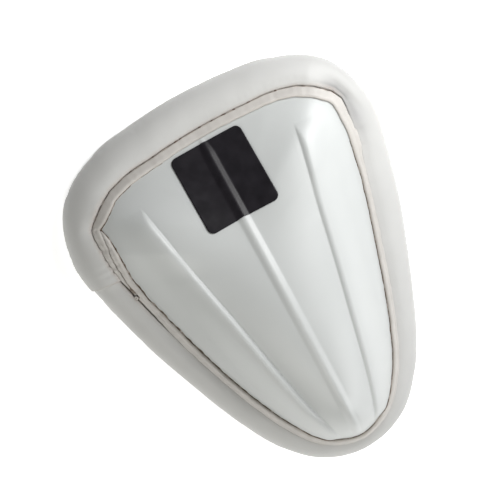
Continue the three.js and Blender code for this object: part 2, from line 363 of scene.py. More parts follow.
def spread(tree, value, low, high, start=0.3, end=0.7):
    """A 0 to 1 pattern stretched to run from low to high."""
    inputs = {"Value": value, "From Min": start, "From Max": end, "To Min": low, "To Max": high}
    return add_node(tree, "ShaderNodeMapRange", inputs).outputs["Result"]


def mix_colours(tree, share, first, second):
    """Two colours, each a value or another node's output, mixed by a share."""
    colours = (side if isinstance(side, bpy.types.NodeSocket) else (*side, 1) for side in (first, second))
    inputs = dict(zip(MIX_INPUTS, (share, *colours)))
    return add_node(tree, "ShaderNodeMix", inputs, data_type="RGBA").outputs[MIX_RESULT]


def clouded(tree, pattern, colour, shade):
    """A colour that drifts to a shade of itself with a pattern."""
    shaded = tuple(shade * value for value in colour)
    return mix_colours(tree, spread(tree, pattern, 0, 1), colour, shaded)


def raise_grain(tree, shader, height, strength, distance):
    """A fine relief from a pattern, its distance in metres."""
    inputs = {"Height": height, "Strength": strength, "Distance": distance}
    tree.links.new(add_node(tree, "ShaderNodeBump", inputs).outputs["Normal"], shader.inputs["Normal"])


def shell_plastic():
    """White satin plastic: a fine moulded texture, faint flow clouds and a few rubbed, smoother patches."""
    finish, tree, shader = new_finish("satin_plastic")
    place = add_node(tree, "ShaderNodeTexCoord").outputs["Object"]
    cloud = noise(tree, place, scale=28, detail=4)
    fine = noise(tree, place, scale=2600, detail=2)
    rubbed = noise(tree, place, scale=90, detail=5, roughness=0.65)
    tree.links.new(clouded(tree, cloud, SHELL_WHITE, SHELL_SHADE), shader.inputs["Base Color"])
    tree.links.new(spread(tree, rubbed, low=0.38, high=0.44), shader.inputs["Roughness"])
    raise_grain(tree, shader, fine, strength=0.12, distance=0.00008)
    shader.inputs["Specular IOR Level"].default_value = 0.5
    return finish


shell.data.materials.append(shell_plastic())
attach(shell, "root")
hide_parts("shell")

# Padded rim: soft foam rolled in white vinyl and wrapped over the whole edge of the shell. The cover is
# sewn down along the seam inside it, its two ends lap on the left side, and it flattens where it lies.
# Places count the edge's rows round the rim. Most ranges are shares of the way from the nose to the seam.
ROLL_SQUARENESS = 2.2
ROLL_STEPS = 44
SLOT_GAP = 0.5
SLOT_INNER_GAP = 0.9
SLOT_INNER_END = -2.0
SLOT_INNER_FLARE = 0.6
SLOT_OUTER_END = -1.0
SEAM_LIFT = 0.6
SEAM_LIFT_RANGE = (0.78, 1.0)
SEAM_OPENING = (-0.3, 0.1)
COVER_STATIONS = 320
COVER_SCALE = 0.05
COVER_PRESSURE = 2.0
COVER_FRAMES = 16
COVER_TRAVEL = 0.8
COVER_TOUCH = 0.05
COVER_STEADY = (-4.5, -1.0)
ROLL_STATIONS = 620
LAP_PLACE = 19.47
LAP_STEPS = np.array([-0.03, -0.012, 0.0, 0.012, 0.03])
LAP_CLEAR = 0.04
LAP_SLANT = 0.30
LAP_SLANT_SPREAD = 0.5
LAP_THICKNESS = 0.8
LAP_FADE = 0.8
LAP_LINE = 0.02
LAP_LINE_RANGE = (0.02, 0.2)
PUCKER_PLACE = 19.72
PUCKER_SPREAD = 0.16
PUCKER_WAVE = 0.13
PUCKER_DEPTH = 0.3
PUCKER_RANGE = (0.55, 0.95)
DENT_DEPTH = 0.05
DENT_SLANT = 0.6
DENT_RANGE = (0.05, 0.5)
SIDE_DEPTH = 0.07
HOLLOW_OUTER_SIDE = (0.4, 0.72)
HOLLOW_SEAM_SIDE = (0.92, 1.0)
STRAIGHT_STEP = 0.6
TINY = 1e-9
VINYL_WHITE = (0.48, 0.48, 0.47)
VINYL_SHADE = 0.94
VINYL_STAIN = (0.38, 0.31, 0.26)
# The grey and the ranges after it paint shade onto the vinyl: in the hollow beside the seam at the right
# corner, and more lightly on that corner's outer side.
VINYL_PAINTED_SHADE = (0.29, 0.288, 0.285)
STAIN_RANGE = (0.86, 1.0)
HOLLOW_SHADE_DEPTH = (0.6, 2.3)
HOLLOW_SHADE_RANGE = (0.45, 0.95)
CORNER_SHADE_PLACE = 3.2
CORNER_SHADE_SPREAD = 0.8
CORNER_SHADE_RANGE = (0.3, 0.6)
CORNER_SHADE_SHARE = 0.55

# Place round the rim, distance of the seam in from the shell's edge along the wall, and width of its groove
SEAM = np.array([
    (0.0, 5.3, 0.22),
    (1.5, 4.9, 0.20),
    (2.45, 4.1, 0.18),
    (2.85, 4.5, 0.18),
    (3.08, 4.4, 0.20),
    (3.35, 3.1, 0.35),
    (3.6, 2.35, 0.25),
    (3.8, 3.6, 0.0),
    (4.25, 5.3, -0.5),
    (4.36, 5.4, -0.5),
    (4.42, 4.4, -0.5),
    (4.78, 4.2, -0.5),
    (5.0, 5.3, -0.5),
    (5.6, 5.9, -0.5),
    (7.2, 6.0, -0.5),
    (9.5, 4.9, -0.5),
    (11.1, 4.8, -0.5),
    (12.5, 4.5, -0.5),
    (13.5, 4.9, -0.5),
    (14.0, 5.8, -0.5),
    (15.9, 5.3, -0.5),
    (17.0, 4.7, -0.5),
    (17.8, 5.3, 0.0),
    (18.5, 5.6, 0.25),
    (18.7, 5.2, 0.30),
    (19.12, 5.25, 0.35),
    (19.45, 6.1, 0.30),
    (19.87, 6.6, 0.30),
    (20.34, 5.1, 0.30),
    (20.53, 4.0, 0.25),
    (20.71, 5.3, 0.35),
    (21.2, 6.7, 0.32),
    (21.65, 5.8, 0.25),
    (22.7, 6.0, 0.24),
])


def round_rim(table, place, column):
    """Value of a table's column at places round the rim."""
    return np.interp(np.mod(place, ROUND), table[:, 0], table[:, column], period=ROUND)


def crossed(first, second):
    """Cross product of plan directions."""
    return first[..., 0] * second[..., 1] - first[..., 1] * second[..., 0]


def from_edge(table, place):
    """Distance from the edge to a table's line, which is straight between close rows."""
    turns = np.mod(place, ROUND)
    before = np.searchsorted(table[:, 0], turns, side="right") - 1
    after = (before + 1) % len(table)
    step = np.mod(table[after, 0] - table[before, 0], ROUND)
    row_point, row_out, row_slope, _ = rim(table[:, 0])
    corner = row_point - row_out * (table[:, 1] * np.cos(row_slope))[:, None]
    point, out, slope, _ = rim(turns)
    way = corner[after] - corner[before]
    straight = crossed(point - corner[before], way) / crossed(out, way) / np.cos(slope)
    return np.where(step < STRAIGHT_STEP, straight, round_rim(table, place, 1))


def bell(value, middle, spread):
    """A smooth bump of height one round a middle."""
    return np.exp(-((value - middle) / spread) ** 2)


def ripple(place, seed, waves):
    """Small unevenness that closes on itself round the rim, from about -1 to 1."""
    phases = np.random.default_rng(seed).uniform(0, 2 * np.pi, len(waves))
    turn = 2 * np.pi * np.asarray(place) / ROUND
    return sum(np.sin(wave * turn + phase) for wave, phase in zip(waves, phases)) / len(waves) ** 0.5


def roll_outline():
    """The roll's section, as distances past the shell's edge along the wall and above its outer face."""
    half_width, half_thickness = ROLL_WIDTH / 2, ROLL_THICKNESS / 2

    def mouth(offset):
        """Turn at which the section meets the slot."""
        share = offset / half_thickness
        return math.atan2(share, (1 - share ** ROLL_SQUARENESS) ** (1 / ROLL_SQUARENESS))

    turn = np.linspace(
        mouth(SLOT_GAP + WALL / 2),
        2 * math.pi - mouth(SLOT_INNER_GAP + WALL / 2),
        ROLL_STEPS,
    )
    power = 2 / ROLL_SQUARENESS
    past = ROLL_REACH - half_width * np.sign(np.cos(turn)) * np.abs(np.cos(turn)) ** power
    above = -WALL / 2 + half_thickness * np.sign(np.sin(turn)) * np.abs(np.sin(turn)) ** power
    slot_past = (SLOT_INNER_END, SLOT_GAP, SLOT_GAP, SLOT_OUTER_END)
    slot_above = (-WALL - SLOT_INNER_FLARE, -WALL - SLOT_GAP, SLOT_GAP, SLOT_GAP)
    to_seam = np.clip(1 - (turn - turn[0]) / (math.pi - turn[0]), 0, 1)
    return np.append(past, slot_past), np.append(above, slot_above), np.append(to_seam, (0, 0, 1, 1))


def along_wall(place, past, above):
    """Points given by distances past the shell's edge along the wall, and above its outer face."""
    point, out, slope, height = rim(place)
    outward = past * np.cos(slope) + above * np.sin(slope)
    z = height - past * np.sin(slope) + above * np.cos(slope)
    plan = point + out * outward[..., None]
    return np.concatenate([plan, z[..., None]], axis=-1)


roll_past, roll_above, roll_to_seam = roll_outline()
roll_size = len(roll_past)
on_outline = np.arange(roll_size) < ROLL_STEPS
roll_top = on_outline & (roll_past < ROLL_REACH) & (roll_above > -WALL / 2)


def roll_grid(place):
    """The roll's distances past the edge at each station, its inner end drawn to the seam."""
    seam_end = from_edge(SEAM, place) - round_rim(SEAM, place, 2)
    inward = ROLL_REACH - roll_past
    share = inward / inward[0]
    stretch = 1 + ((ROLL_REACH + seam_end) / inward[0] - 1) * share
    return np.where(roll_top, ROLL_REACH - inward * stretch, roll_past)


def roll_heights(place):
    """The roll's heights at each station, its inner end lifted where the seam is open."""
    lift = SEAM_LIFT * smoothstep(round_rim(SEAM, place, 2), *SEAM_OPENING)
    return roll_above + np.where(roll_top, lift * smoothstep(roll_to_seam, *SEAM_LIFT_RANGE), 0)


def section_frame(place):
    """Outward, along and up directions of the roll's section at each place."""
    out = rim(place)[1]
    flat = np.zeros(out.shape[:-1])
    outward = np.stack([out[..., 0], out[..., 1], flat], axis=-1)
    along = np.stack([out[..., 1], -out[..., 0], flat], axis=-1)
    upward = np.broadcast_to(np.array([0.0, 0.0, 1.0]), outward.shape)
    return np.stack([outward, along, upward], axis=-2)


def blown_cover():
    """How far the foam blows up the cover, which is sewn down at the seam and flat on the floor."""
    place = np.arange(COVER_STATIONS)[:, None] * ROUND / COVER_STATIONS * np.ones(roll_size)
    rest = along_wall(place, roll_grid(place), roll_heights(place))
    rest[..., 2] = np.maximum(0, rest[..., 2])
    faces = grid_faces(COVER_STATIONS, roll_size, round_rows=True, round_columns=True)
    cover = make_piece("cover", rest * COVER_SCALE / MM, faces)
    step = np.arange(roll_size)
    sewn = (rest[..., 2] < COVER_TOUCH) | (step >= ROLL_STEPS - 1) | (step < 2)
    cover.vertex_groups.new(name="sewn").add(np.nonzero(sewn.ravel())[0].tolist(), 1.0, "REPLACE")
    cloth = cover.modifiers.new("cover", "CLOTH")
    cloth.settings.quality = 6
    cloth.settings.mass = 0.05
    cloth.settings.tension_stiffness = 15
    cloth.settings.compression_stiffness = 15
    cloth.settings.shear_stiffness = 8
    cloth.settings.bending_stiffness = 0.4
    cloth.settings.use_pressure = True
    cloth.settings.uniform_pressure_force = COVER_PRESSURE
    cloth.settings.vertex_group_mass = "sewn"
    cloth.settings.effector_weights.gravity = 0
    cloth.collision_settings.use_collision = False
    cloth.point_cache.frame_start = 1
    cloth.point_cache.frame_end = COVER_FRAMES
    for moment in range(1, COVER_FRAMES + 1):
        bpy.context.scene.frame_set(moment)
    blown = np.empty(rest.size)
    cover.evaluated_get(bpy.context.evaluated_depsgraph_get()).data.vertices.foreach_get("co", blown)
    bpy.context.scene.frame_set(1)
    bpy.data.objects.remove(cover)
    travel = blown.reshape(rest.shape) / COVER_SCALE - rest
    length = np.linalg.norm(travel, axis=-1, keepdims=True)
    travel *= COVER_TRAVEL * np.tanh(length / COVER_TRAVEL) / np.maximum(length, TINY)
    return (section_frame(place) @ travel[..., None])[..., 0]


def lap_stations():
    """Stations round the rim, gathered where the cover's ends lap."""
    even = np.arange(ROLL_STATIONS) * ROUND / ROLL_STATIONS
    clear = even[np.abs(even - LAP_PLACE) > LAP_CLEAR]
    return np.sort(np.concatenate([clear, LAP_PLACE + LAP_STEPS]))


# Place round the rim and how far the cover is pulled down beside the seam
HOLLOW = np.array([
    (2.7, 0.0),
    (3.3, 2.3),
    (4.0, 2.3),
    (4.7, 1.0),
    (6.0, 0.6),
    (11.5, 0.4),
    (13.0, 0.0),
])


def hollow_depth(station):
    """Depth of the hollow beside the seam at each station."""
    return np.interp(station, HOLLOW[:, 0], HOLLOW[:, 1])


def cover_rise(station, to_seam):
    """How far the cover stands off the plain roll: the lap, puckers, soft dents and the hollow."""
    past_lap = station - LAP_PLACE
    lap = np.where(past_lap >= 0, LAP_THICKNESS * np.exp(-np.maximum(past_lap, 0) / LAP_FADE), 0)
    from_pucker = station - PUCKER_PLACE
    folds = bell(from_pucker, 0, PUCKER_SPREAD) * np.cos(2 * np.pi * from_pucker / PUCKER_WAVE)
    pucker = PUCKER_DEPTH * folds * smoothstep(to_seam, *PUCKER_RANGE)
    dents = DENT_DEPTH * ripple(station + DENT_SLANT * to_seam, seed=4, waves=(11, 17, 29, 41))
    dents = dents * smoothstep(to_seam, *DENT_RANGE)
    sides = SIDE_DEPTH * ripple(station, seed=5, waves=(5, 9, 15))
    shoulder = smoothstep(to_seam, *HOLLOW_OUTER_SIDE) * (1 - smoothstep(to_seam, *HOLLOW_SEAM_SIDE))
    return lap + pucker + dents + sides - hollow_depth(station) * shoulder


stations = lap_stations()[:, None] * np.ones(roll_size)
slant = LAP_SLANT * roll_to_seam * bell(stations, LAP_PLACE, LAP_SLANT_SPREAD)
places = stations - slant
cover_place = np.arange(COVER_STATIONS + 1) * ROUND / COVER_STATIONS
blown = blown_cover()
blown = np.concatenate([blown, blown[:1]])
past = roll_grid(places)
above = roll_heights(places)
rise = cover_rise(stations, roll_to_seam) * smoothstep(roll_above, *COVER_STEADY)
rise[:, ROLL_STEPS:] = 0
away = np.stack([past - ROLL_REACH, above + WALL / 2], axis=-1)
away /= np.linalg.norm(away, axis=-1, keepdims=True)
roll_points = along_wall(places, past + rise * away[..., 0], above + rise * away[..., 1])
moved = np.empty(roll_points.shape)
for step in range(roll_size):
    for axis in range(3):
        moved[:, step, axis] = np.interp(places[:, step], cover_place, blown[:, step, axis])
roll_points += (moved[..., None] * section_frame(places)).sum(-2)
roll_points[..., 2] = np.maximum(0, roll_points[..., 2])
padded_rim = make_piece(
    "vinyl_roll",
    roll_points,
    grid_faces(len(stations), roll_size, round_rows=True, round_columns=True),
)


def mark(piece, name, values):
    """A value at each point of a piece, for its material."""
    piece.data.attributes.new(name, "FLOAT", "POINT").data.foreach_set("value", np.ravel(values))


# Place round the rim and how brown the seam is: most along the waist and round the left corner
STAIN = np.array([
    (0.0, 0.4),
    (2.4, 0.4),
    (3.3, 0.6),
    (3.7, 0.1),
    (17.5, 0.1),
    (18.6, 0.6),
    (21.5, 0.6),
    (22.5, 0.5),
])
# Painted shade: grey marked into the hollow beside the seam where it is deepest, and a lighter grey on the
# outer side of the right corner.
hollow_painted_shade = smoothstep(hollow_depth(stations), *HOLLOW_SHADE_DEPTH) * smoothstep(roll_to_seam, *HOLLOW_SHADE_RANGE)
corner_painted_shade = bell(stations, CORNER_SHADE_PLACE, CORNER_SHADE_SPREAD) * (1 - smoothstep(roll_to_seam, *CORNER_SHADE_RANGE))
mark(padded_rim, "stain", round_rim(STAIN, places, 1) * smoothstep(roll_to_seam, *STAIN_RANGE))
mark(padded_rim, "painted_shade", hollow_painted_shade + CORNER_SHADE_SHARE * corner_painted_shade)
mark(padded_rim, "lap", bell(stations, LAP_PLACE, LAP_LINE) * smoothstep(roll_to_seam, *LAP_LINE_RANGE))


def marked(tree, name):
    """A piece's marked value, in its material."""
    return add_node(tree, "ShaderNodeAttribute", attribute_name=name).outputs["Fac"]


def times(tree, first, second):
    """Two values multiplied."""
    return add_node(tree, "ShaderNodeMath", {0: first, 1: second}, operation="MULTIPLY").outputs["Value"]


def roll_vinyl():
    """White vinyl: a very fine pressed grain, brown from glue at the seam, and painted grey shade in the
    hollow beside the seam and on the outer side of the right corner.
    """
    finish, tree, shader = new_finish("white_vinyl")
    place = add_node(tree, "ShaderNodeTexCoord").outputs["Object"]
    cloud = noise(tree, place, scale=45, detail=4)
    blotch = noise(tree, place, scale=700, detail=4)
    grain = noise(tree, place, scale=1900, detail=3)
    colour = clouded(tree, cloud, VINYL_WHITE, VINYL_SHADE)
    # Painted shade: the marked hollow and corner are turned grey.
    painted_shade = times(tree, marked(tree, "painted_shade"), spread(tree, cloud, low=0.8, high=1.0))
    colour = mix_colours(tree, painted_shade, colour, VINYL_PAINTED_SHADE)
    stain = times(tree, marked(tree, "stain"), spread(tree, blotch, low=0.3, high=1.0))
    colour = mix_colours(tree, stain, colour, VINYL_STAIN)
    lap = times(tree, marked(tree, "lap"), spread(tree, blotch, low=0.0, high=0.5))
    colour = mix_colours(tree, lap, colour, VINYL_STAIN)
    tree.links.new(colour, shader.inputs["Base Color"])
    tree.links.new(spread(tree, cloud, low=0.44, high=0.56), shader.inputs["Roughness"])
    raise_grain(tree, shader, grain, strength=0.18, distance=0.0001)
    shader.inputs["Specular IOR Level"].default_value = 0.28
    return finish


padded_rim.data.materials.append(roll_vinyl())
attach(padded_rim, "root")
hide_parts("padded_rim")

# Seam welt: a folded strip of the same vinyl that covers the seam on the shell's side. It starts as a
# sliver at the left corner, runs down and right round, and its end laps over that start on the left side.
WELT_START = 20.5
WELT_CORNER = 20.54 - ROUND
WELT_END = 18.68 - ROUND
WELT_GAP = 0.35
WELT_GAP_RANGE = (19.2 - ROUND, 19.05 - ROUND)
WELT_STATIONS = 1050
WELT_LAP = 0.45
WELT_LAP_LENGTH = 0.12
WELT_UNDERLAP = 0.2
WELT_FULL_WIDTH = 2.2
WELT_OUTER_WAVE = 0.05
WELT_INNER_WAVE = 0.06
RUMPLE_PLACE = 19.6
RUMPLE_SPREAD = 0.7
RUMPLE_HEIGHT = 0.12
RUMPLE_LEAST = 0.05
PINCH_DEPTH = 0.7
PINCH_SPREAD = 0.015
PINCH_SHARE = (0.3, 0.8)
PINCH_RISE = (0.5, 1.2)
WAIST_START = 0.1
WAIST_END = (3.4, 3.8)
THIN_WELT = 0.35
LIFTED_RISE = (0.3, 0.9)
INNER_STAIN = 0.3
INNER_STAIN_RANGE = (0.88, 1.0)
OUTER_STAIN_RANGE = (0.9, 1.0)
WELT_CREAM = (0.48, 0.46, 0.435)
WELT_SHADE = 0.88
WELT_BROWN = (0.36, 0.29, 0.22)

# Place round the rim and distance of the strip's inner edge in from the shell's edge along the wall
WELT_INNER = np.array([
    (0.0, 8.7),
    (1.5, 8.45),
    (2.4, 8.0),
    (2.9, 9.0),
    (3.18, 8.9),
    (3.41, 7.5),
    (3.54, 7.2),
    (3.71, 8.1),
    (3.91, 9.0),
    (4.3, 9.2),
    (4.75, 8.75),
    (5.5, 8.2),
    (7.2, 8.8),
    (9.5, 8.4),
    (10.5, 8.9),
    (11.6, 9.7),
    (12.4, 9.8),
    (12.9, 9.0),
    (13.5, 9.3),
    (13.95, 10.2),
    (14.9, 9.2),
    (16.0, 8.4),
    (17.1, 8.4),
    (17.9, 8.6),
    (18.45, 8.2),
    (18.75, 8.8),
    (19.05, 8.8),
    (19.5, 11.3),
    (19.78, 12.1),
    (20.05, 11.8),
    (20.25, 11.0),
    (20.41, 9.4),
    (20.54, 7.45),
    (20.63, 8.9),
    (21.02, 11.2),
    (21.54, 9.7),
    (22.7, 9.5),
])

# The line where the strip's end lies over its start: place and distance, as above
WELT_FOLD = np.array([
    (18.6, 6.9),
    (18.83, 6.7),
    (19.05, 6.9),
    (19.57, 8.8),
    (19.68, 9.3),
    (19.85, 9.6),
    (20.08, 10.1),
    (20.26, 9.5),
    (20.42, 8.6),
    (20.54, 7.45),
])

# Share of the strip's width from the roll, and height above the shell
WELT_SECTION = np.array([
    (0.0, 0.2),
    (0.0, 0.95),
    (0.03, 1.25),
    (0.1, 1.45),
    (0.2, 1.52),
    (0.32, 1.5),
    (0.44, 1.43),
    (0.52, 1.4),
    (0.6, 1.38),
    (0.72, 1.34),
    (0.84, 1.22),
    (0.93, 1.02),
    (0.985, 0.74),
    (1.0, 0.46),
    (0.98, 0.22),
    (0.88, 0.12),
])
WELT_FLAT = 1.3
WELT_CREASE = 0.1
CREASE_SHARE = 0.52
CREASE_SPREAD = 0.06
CREASED_WIDTH = (2.4, 3.0)


def on_shell(place, distance, lift, surface=dome):
    """Points on the shell at distances along the wall in from its edge, lifted square to it."""
    point, out, slope, _ = rim(place)
    plan = point - out * (distance * np.cos(slope))[..., None]
    face, square = surface(plan[..., 0], plan[..., 1])
    return face + square * lift[..., None]


def inner_wave(place):
    """Unevenness of the strip's inner edge."""
    return WELT_INNER_WAVE * ripple(place, seed=12, waves=(29, 43, 67))


def fold_line(place):
    """Distance of the lap's line in from the edge."""
    return np.interp(np.mod(place, ROUND), WELT_FOLD[:, 0], WELT_FOLD[:, 1])


welt_place = np.linspace(WELT_END, WELT_START, WELT_STATIONS)
under_fold = fold_line(welt_place) - WELT_UNDERLAP
gap = WELT_GAP * smoothstep(welt_place, *WELT_GAP_RANGE)
welt_outer = np.where(welt_place > WELT_FOLD[0, 0], under_fold, from_edge(SEAM, welt_place))
welt_inner = np.where(welt_place < WELT_CORNER, under_fold - gap, from_edge(WELT_INNER, welt_place))
welt_outer = welt_outer + WELT_OUTER_WAVE * ripple(welt_place, seed=11, waves=(31, 47, 71))
welt_inner = welt_inner + inner_wave(welt_place)
welt_width = welt_inner - welt_outer
welt_fullness = smoothstep(welt_width, 0.0, WELT_FULL_WIDTH)
rumple = RUMPLE_LEAST + RUMPLE_HEIGHT * bell(np.mod(welt_place, ROUND), RUMPLE_PLACE, RUMPLE_SPREAD)
welt_lift = WELT_LAP * smoothstep(WELT_CORNER - welt_place, 0.0, WELT_LAP_LENGTH)
welt_lift = welt_lift + rumple * ripple(welt_place, seed=13, waves=(37, 61, 97, 131))
corner_pinch = PINCH_DEPTH * bell(welt_place, WELT_CORNER, PINCH_SPREAD)
welt_share, welt_rise = WELT_SECTION.T
distance = welt_outer[:, None] + welt_width[:, None] * welt_share
crease = WELT_CREASE * bell(welt_share, CREASE_SHARE, CREASE_SPREAD)
crease = crease * smoothstep(welt_width, *CREASED_WIDTH)[:, None]
waist = smoothstep(welt_place, WELT_CORNER, WELT_CORNER + WAIST_START)
waist = (waist * (1 - smoothstep(welt_place, *WAIST_END)))[:, None]
plain = waist * np.minimum(welt_rise, WELT_FLAT) + (1 - waist) * (welt_rise - crease)
lift = plain * (THIN_WELT + (1 - THIN_WELT) * welt_fullness[:, None])
lift += (welt_lift * welt_fullness)[:, None] * smoothstep(welt_rise, *LIFTED_RISE)
lift -= corner_pinch[:, None] * smoothstep(welt_share, *PINCH_SHARE) * smoothstep(welt_rise, *PINCH_RISE)
welt_points = on_shell(welt_place[:, None] * np.ones(len(WELT_SECTION)), distance, lift)
rows, columns = distance.shape
end_faces = [list(range(columns))[::-1], [(rows - 1) * columns + step for step in range(columns)]]
seam_welt = make_piece(
    "folded_welt",
    welt_points,
    grid_faces(rows, columns, round_columns=True).tolist() + end_faces,
)
inner_stain = INNER_STAIN * smoothstep(welt_share, *INNER_STAIN_RANGE)
outer_stain = smoothstep(1 - welt_share, *OUTER_STAIN_RANGE) * round_rim(STAIN, welt_place, 1)[:, None]
mark(seam_welt, "stain", inner_stain + outer_stain)


def welt_vinyl():
    """The same vinyl, worn by handling, and yellowed by glue along its folded edges."""
    finish, tree, shader = new_finish("welt_vinyl")
    place = add_node(tree, "ShaderNodeTexCoord").outputs["Object"]
    cloud = noise(tree, place, scale=160, detail=4)
    blotch = noise(tree, place, scale=620, detail=4)
    grain = noise(tree, place, scale=1900, detail=3)
    stain = times(tree, marked(tree, "stain"), spread(tree, blotch, low=0.1, high=0.8))
    colour = mix_colours(tree, stain, clouded(tree, cloud, WELT_CREAM, WELT_SHADE), WELT_BROWN)
    tree.links.new(colour, shader.inputs["Base Color"])
    raise_grain(tree, shader, grain, strength=0.2, distance=0.0001)
    shader.inputs["Roughness"].default_value = 0.5
    return finish


seam_welt.data.materials.append(welt_vinyl())
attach(seam_welt, "root")
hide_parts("seam_welt")

# Seam glue and thread: brown glue that has crept out along the welt's edges, the dark thread that shows
# in the groove along the waist, and the small cream knot that ends it on the left side. All lie in the
# seam, on the shell and on the roll.
GLUE_BROWN = (0.10, 0.072, 0.05)
GLUE_PALE = (0.42, 0.37, 0.33)
THREAD_BROWN = (0.075, 0.055, 0.045)
THREAD_LIGHT = 2.4
GROOVE_GLUE = (18.45, ROUND + 3.62)
GROOVE_STATIONS = 480
GROOVE_LAP_END = 19.12
GROOVE_LEVEL = 1.0
GROOVE_UNEVEN = 0.15
GROOVE_UNDER_WELT = 0.2
GROOVE_UNDER_ROLL = 0.2
GROOVE_ROUNDING = 0.1
GROOVE_TOP_SHARE = 0.75
GROOVE_TOP_RISE = 0.05
GROOVE_WELT_FOOT = 0.3
GROOVE_ROLL_FOOT = 0.5
SHELL_GLUE = (4.6, 23.0)
SHELL_GLUE_STATIONS = 1100
SHELL_GLUE_DARKNESS = 1.4
SHELL_GLUE_LEAST = 0.02
SHELL_GLUE_UNEVEN = 0.5
SHELL_GLUE_TOP = 0.2
SHELL_GLUE_FOOT = 0.03
SHELL_GLUE_BACK = 0.3
SHELL_GLUE_UNDER_WELT = 0.4
BEAD_SIDES = 4
STITCH_STEPS = 9
STITCH_SIDES = 6
STITCH_SWING = (-0.4, 0.8)
STITCH_LIFT = 1.25
STITCH_BOW = 1.6
STITCH_TAPER = 1.9
STITCH_END = 0.05
RIM_PER_PLACE = 16.5
KNOT_PLACE = 18.64
KNOT_FROM_SEAM = 0.1
KNOT_RADIUS = 0.48
KNOT_THREAD = 0.8
KNOT_LIFT = 1.6
KNOT_STEPS = 20
KNOT_STAIN = 0.2

# Place round the rim and how dark the glue is in the groove beside the roll
GROOVE_DARKNESS = np.array([
    (18.45, 0.8),
    (19.1, 0.85),
    (20.5, 0.8),
    (20.6, 1.0),
    (21.4, 0.9),
    (21.8, 0.6),
    (23.6, 0.5),
    (24.6, 0.35),
    (26.3, 0.25),
    (26.7, 0.45),
    (27.15, 0.6),
    (27.4, 0.9),
    (27.62, 0.4),
])

# Place round the rim and how far the glue shows beyond the welt on the shell
GLUE_REACH = np.array([
    (4.6, 0.0),
    (5.3, 0.14),
    (9.3, 0.2),
    (9.45, 0.05),
    (9.55, 0.2),
    (11.0, 0.26),
    (13.0, 0.26),
    (15.0, 0.2),
    (16.8, 0.44),
    (18.5, 0.42),
    (20.4, 0.3),
    (20.55, 0.5),
    (20.7, 0.3),
    (21.0, 0.18),
    (21.6, 0.15),
    (22.8, 0.0),
])

# Place round the rim, length and thickness of the stitches that show
STITCHES = (
    (21.62, 1.2, 0.45),
    (22.3, 1.4, 0.4),
    (22.9, 1.2, 0.4),
    (23.5, 2.0, 0.6),
    (23.62, 1.4, 0.55),
    (24.12, 1.6, 0.5),
    (24.43, 1.2, 0.45),
    (24.72, 2.6, 0.5),
    (24.98, 1.4, 0.5),
    (25.32, 2.0, 0.6),
    (26.0, 1.2, 0.75),
    (26.62, 2.6, 0.35),
    (27.05, 1.2, 0.4),
    (27.38, 2.2, 0.5),
)


def glue_bead(place, distances, lifts, surface):
    """Points and faces of a thin four-sided bead laid along the rim."""
    grid = place[:, None] * np.ones(BEAD_SIDES)
    points = on_shell(grid, np.stack(distances, axis=-1), np.stack(lifts, axis=-1), surface)
    return points.reshape(-1, 3), grid_faces(len(place), BEAD_SIDES, round_columns=True)


groove_place = np.linspace(*GROOVE_GLUE, GROOVE_STATIONS)
groove_seam = from_edge(SEAM, groove_place)
groove_width = round_rim(SEAM, groove_place, 2)
groove_lap = np.maximum(groove_seam, fold_line(groove_place))
groove_inner = np.where(groove_place < GROOVE_LAP_END, groove_lap, groove_seam) + GROOVE_UNDER_WELT
groove_level = GROOVE_LEVEL + GROOVE_UNEVEN * ripple(groove_place, seed=21, waves=(41, 67, 103))
flat = np.zeros_like(groove_place)
groove_points, groove_faces = glue_bead(
    groove_place,
    [
        groove_inner,
        groove_inner - GROOVE_ROUNDING,
        groove_seam - GROOVE_TOP_SHARE * groove_width,
        groove_seam - groove_width - GROOVE_UNDER_ROLL,
    ],
    [flat + GROOVE_WELT_FOOT, groove_level, groove_level + GROOVE_TOP_RISE, flat + GROOVE_ROLL_FOOT],
    dome,
)
shell_place = np.linspace(*SHELL_GLUE, SHELL_GLUE_STATIONS)
shell_edge = from_edge(WELT_INNER, shell_place) + inner_wave(shell_place)
under_welt = shell_edge - SHELL_GLUE_UNDER_WELT
shell_uneven = 1 + SHELL_GLUE_UNEVEN * ripple(shell_place, seed=22, waves=(37, 59, 83, 127))
shell_reach = np.interp(shell_place, GLUE_REACH[:, 0], GLUE_REACH[:, 1]) * shell_uneven
shell_reach = np.maximum(SHELL_GLUE_LEAST, shell_reach)
flat = np.zeros_like(shell_place)
shell_points, shell_faces = glue_bead(
    shell_place,
    [shell_edge + shell_reach, shell_edge + shell_reach / 2, under_welt, under_welt],
    [flat + SHELL_GLUE_FOOT, flat + SHELL_GLUE_TOP, flat + SHELL_GLUE_BACK, flat + SHELL_GLUE_FOOT],
    ribbed,
)
glue = make_piece(
    "seam_glue",
    np.concatenate([groove_points, shell_points]),
    np.concatenate([groove_faces, shell_faces + len(groove_points)]),
)
groove_darkness = np.interp(groove_place, GROOVE_DARKNESS[:, 0], GROOVE_DARKNESS[:, 1])
shell_darkness = np.full(SHELL_GLUE_STATIONS, SHELL_GLUE_DARKNESS)
mark(glue, "darkness", np.repeat(np.concatenate([groove_darkness, shell_darkness]), BEAD_SIDES))


